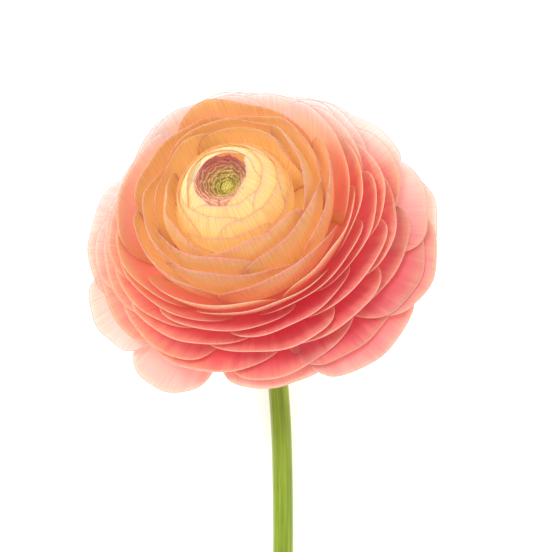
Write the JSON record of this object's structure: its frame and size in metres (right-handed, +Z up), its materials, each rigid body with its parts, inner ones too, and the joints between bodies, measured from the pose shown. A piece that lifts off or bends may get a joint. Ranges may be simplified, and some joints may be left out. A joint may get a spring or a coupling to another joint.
{
  "type": "ranunculus flower",
  "caption": "Cut ranunculus flower laid on its side: a dense dome of thin layered petals, yellow to orange to coral, round a green heart, on a bent green stem.",
  "frame": {"origin": "on the surface the flower lies on, under the middle of the box it takes up", "axes": "+Z up from the surface; +Y along the stem from its cut end towards the bloom; +X to the right as the flower is seen from above with its stem towards the viewer"},
  "size_m": [0.0814, 0.1524, 0.0524],
  "materials": {
    "heart": "fresh green-yellow carpel button, matt",
    "inner_petals": "thin pale yellow petals with pink rims, satin and translucent",
    "middle_petals": "thin orange petals with pink rims, satin and translucent",
    "outer_petals": "thin coral pink petals, paler at their rims, satin and translucent",
    "calyx": "soft light green sepals, matt",
    "stem": "fresh yellow-green stem, satin"
  },
  "bodies": {
    "root": {"heart": "heart", "inner_petals": "inner_petals", "middle_petals": "middle_petals", "outer_petals": "outer_petals", "calyx": "calyx", "stem": "stem"}
  },
  "joints": []
}
